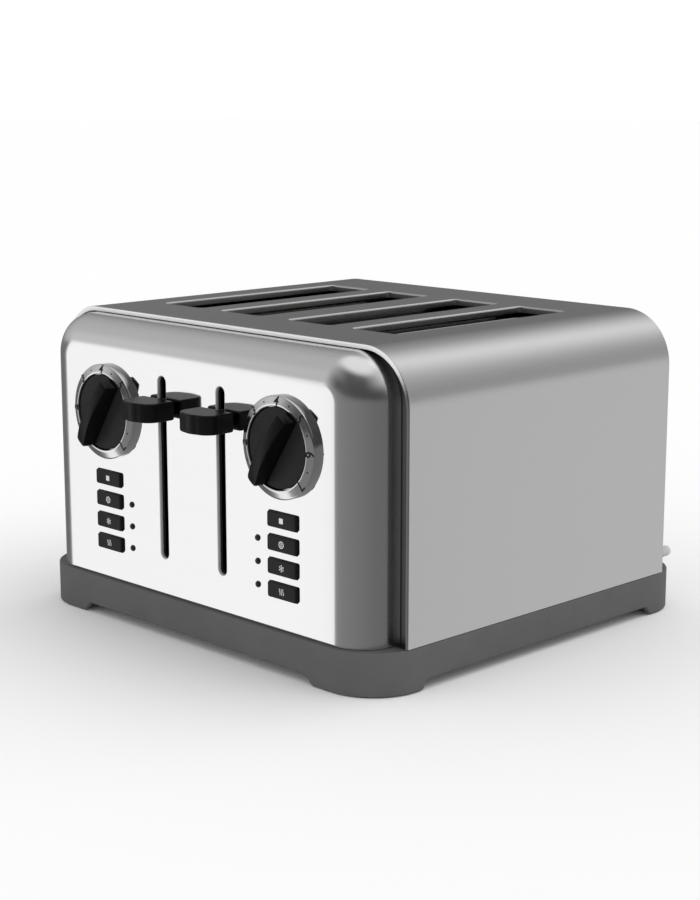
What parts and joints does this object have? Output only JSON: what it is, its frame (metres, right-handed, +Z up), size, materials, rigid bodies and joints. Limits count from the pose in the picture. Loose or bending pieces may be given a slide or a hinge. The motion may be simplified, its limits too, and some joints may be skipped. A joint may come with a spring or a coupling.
{
  "type": "pop-up toaster",
  "caption": "Wide pop-up toaster with long bread slots, steel wrap and mirror panels, paired levers and dials with push buttons, on a plastic base.",
  "frame": {"origin": "centre of the footprint, on the surface the toaster stands on", "axes": "+X to the right seen from the front, -Y towards the user, +Z up"},
  "size_m": [0.297, 0.3044, 0.1844],
  "materials": {
    "steel_wrap": "satin",
    "steel_panel": "bright polished",
    "chrome": "polished",
    "chassis_steel": "dull",
    "wire_steel": "satin",
    "base_plastic": "fine matt",
    "trim_steel": "bright",
    "knob_plastic": "satin",
    "button_plastic": "satin",
    "lens_plastic": "glossy",
    "board_laminate": "lacquered",
    "switch_plastic": "matt",
    "rubber": "matt",
    "mica": "flaky",
    "heating_wire": "oxidised",
    "iron": "zinc plated",
    "copper": "enamelled",
    "gland_plastic": "matt",
    "ceramic_white": "matt",
    "spring_steel": "bright"
  },
  "bodies": {
    "root": {"base_skirt": "base_plastic", "bottom_plate": "chassis_steel", "rubber_feet": "rubber", "chassis_floor": "chassis_steel", "chassis_top": "chassis_steel", "chassis_front_plate": "chassis_steel", "chassis_rear_plate": "chassis_steel", "side_shields": "chassis_steel", "centre_divider": "chassis_steel", "shell_wrap": "steel_wrap", "front_panel": "steel_panel", "rear_panel": "steel_panel", "front_trim": "trim_steel", "rear_trim": "trim_steel", "dial_bezel_left": "chrome", "dial_bezel_right": "chrome", "potentiometers": "switch_plastic", "led_lenses": "lens_plastic", "control_board_left": "board_laminate", "control_board_right": "board_laminate", "tact_switches": "switch_plastic", "electromagnet_left": "copper", "electromagnet_right": "copper", "guide_rods": "wire_steel", "lift_spring_left": "spring_steel", "lift_spring_right": "spring_steel", "heater_boards": "mica", "heater_windings": "heating_wire", "cord_gland": "gland_plastic", "terminal_block": "ceramic_white", "screws": "wire_steel"},
    "crumb_tray": {"crumb_tray": "chassis_steel"},
    "carriage_left": {"lever_knob_left": "knob_plastic", "carriage_left": "chassis_steel", "bread_racks_left": "wire_steel", "keeper_left": "iron"},
    "dial_left": {"dial_knob_left": "knob_plastic", "dial_shaft_left": "wire_steel"},
    "stop_button_left": {"stop_button_left": "button_plastic"},
    "bagel_button_left": {"bagel_button_left": "button_plastic"},
    "defrost_button_left": {"defrost_button_left": "button_plastic"},
    "reheat_button_left": {"reheat_button_left": "button_plastic"},
    "bread_guide_left_1": {"bread_guide_left_1": "wire_steel"},
    "bread_guide_left_2": {"bread_guide_left_2": "wire_steel"},
    "bread_guide_left_3": {"bread_guide_left_3": "wire_steel"},
    "bread_guide_left_4": {"bread_guide_left_4": "wire_steel"},
    "carriage_right": {"lever_knob_right": "knob_plastic", "carriage_right": "chassis_steel", "bread_racks_right": "wire_steel", "keeper_right": "iron"},
    "dial_right": {"dial_knob_right": "knob_plastic", "dial_shaft_right": "wire_steel"},
    "stop_button_right": {"stop_button_right": "button_plastic"},
    "bagel_button_right": {"bagel_button_right": "button_plastic"},
    "defrost_button_right": {"defrost_button_right": "button_plastic"},
    "reheat_button_right": {"reheat_button_right": "button_plastic"},
    "bread_guide_right_1": {"bread_guide_right_1": "wire_steel"},
    "bread_guide_right_2": {"bread_guide_right_2": "wire_steel"},
    "bread_guide_right_3": {"bread_guide_right_3": "wire_steel"},
    "bread_guide_right_4": {"bread_guide_right_4": "wire_steel"}
  },
  "joints": [
    {"name": "lever_left", "type": "slide", "parent": "root", "child": "carriage_left", "axis": [0, 0, 1], "range_m": [-0.08, 0.008], "stiffness_N_per_m": 120, "springref_m": 0.02, "deforming": ["lift_spring_left"]},
    {"name": "dial_left_turn", "type": "hinge", "parent": "root", "child": "dial_left", "pos_m": [-0.0765, -0.1298, 0.1273], "axis": [0, 1, 0], "range_deg": [-168, 102]},
    {"name": "stop_button_left_press", "type": "slide", "parent": "root", "child": "stop_button_left", "axis": [0, 1, 0], "range_m": [0, 0.0012], "stiffness_N_per_m": 400},
    {"name": "bagel_button_left_press", "type": "slide", "parent": "root", "child": "bagel_button_left", "axis": [0, 1, 0], "range_m": [0, 0.0012], "stiffness_N_per_m": 400},
    {"name": "defrost_button_left_press", "type": "slide", "parent": "root", "child": "defrost_button_left", "axis": [0, 1, 0], "range_m": [0, 0.0012], "stiffness_N_per_m": 400},
    {"name": "reheat_button_left_press", "type": "slide", "parent": "root", "child": "reheat_button_left", "axis": [0, 1, 0], "range_m": [0, 0.0012], "stiffness_N_per_m": 400},
    {"name": "bread_guide_left_1_lean", "type": "hinge", "parent": "root", "child": "bread_guide_left_1", "pos_m": [-0.098, 0.0062, 0.04], "axis": [0, 1, 0], "range_deg": [-0.35, 3.05]},
    {"name": "bread_guide_left_2_lean", "type": "hinge", "parent": "root", "child": "bread_guide_left_2", "pos_m": [-0.0668, 0.0062, 0.04], "axis": [0, 1, 0], "range_deg": [-3.05, 0.35]},
    {"name": "bread_guide_left_3_lean", "type": "hinge", "parent": "root", "child": "bread_guide_left_3", "pos_m": [-0.0452, 0.0062, 0.04], "axis": [0, 1, 0], "range_deg": [-0.35, 3.05]},
    {"name": "bread_guide_left_4_lean", "type": "hinge", "parent": "root", "child": "bread_guide_left_4", "pos_m": [-0.014, 0.0062, 0.04], "axis": [0, 1, 0], "range_deg": [-3.05, 0.35]},
    {"name": "lever_right", "type": "slide", "parent": "root", "child": "carriage_right", "axis": [0, 0, 1], "range_m": [-0.08, 0.008], "stiffness_N_per_m": 120, "springref_m": 0.02, "deforming": ["lift_spring_right"]},
    {"name": "dial_right_turn", "type": "hinge", "parent": "root", "child": "dial_right", "pos_m": [0.0765, -0.1298, 0.1273], "axis": [0, 1, 0], "range_deg": [-168, 102]},
    {"name": "stop_button_right_press", "type": "slide", "parent": "root", "child": "stop_button_right", "axis": [0, 1, 0], "range_m": [0, 0.0012], "stiffness_N_per_m": 400},
    {"name": "bagel_button_right_press", "type": "slide", "parent": "root", "child": "bagel_button_right", "axis": [0, 1, 0], "range_m": [0, 0.0012], "stiffness_N_per_m": 400},
    {"name": "defrost_button_right_press", "type": "slide", "parent": "root", "child": "defrost_button_right", "axis": [0, 1, 0], "range_m": [0, 0.0012], "stiffness_N_per_m": 400},
    {"name": "reheat_button_right_press", "type": "slide", "parent": "root", "child": "reheat_button_right", "axis": [0, 1, 0], "range_m": [0, 0.0012], "stiffness_N_per_m": 400},
    {"name": "bread_guide_right_1_lean", "type": "hinge", "parent": "root", "child": "bread_guide_right_1", "pos_m": [0.014, 0.0062, 0.04], "axis": [0, 1, 0], "range_deg": [-0.35, 3.05]},
    {"name": "bread_guide_right_2_lean", "type": "hinge", "parent": "root", "child": "bread_guide_right_2", "pos_m": [0.0452, 0.0062, 0.04], "axis": [0, 1, 0], "range_deg": [-3.05, 0.35]},
    {"name": "bread_guide_right_3_lean", "type": "hinge", "parent": "root", "child": "bread_guide_right_3", "pos_m": [0.0668, 0.0062, 0.04], "axis": [0, 1, 0], "range_deg": [-0.35, 3.05]},
    {"name": "bread_guide_right_4_lean", "type": "hinge", "parent": "root", "child": "bread_guide_right_4", "pos_m": [0.098, 0.0062, 0.04], "axis": [0, 1, 0], "range_deg": [-3.05, 0.35]},
    {"name": "crumb_tray_slide", "type": "slide", "parent": "root", "child": "crumb_tray", "axis": [0, 1, 0], "range_m": [0, 0.2]}
  ],
  "couplings": [
    {"joint": "bread_guide_left_1_lean", "follows": "lever_left", "rad_per_m": -0.6545},
    {"joint": "bread_guide_left_2_lean", "follows": "lever_left", "rad_per_m": 0.6545},
    {"joint": "bread_guide_left_3_lean", "follows": "lever_left", "rad_per_m": -0.6545},
    {"joint": "bread_guide_left_4_lean", "follows": "lever_left", "rad_per_m": 0.6545},
    {"joint": "bread_guide_right_1_lean", "follows": "lever_right", "rad_per_m": -0.6545},
    {"joint": "bread_guide_right_2_lean", "follows": "lever_right", "rad_per_m": 0.6545},
    {"joint": "bread_guide_right_3_lean", "follows": "lever_right", "rad_per_m": -0.6545},
    {"joint": "bread_guide_right_4_lean", "follows": "lever_right", "rad_per_m": 0.6545}
  ]
}
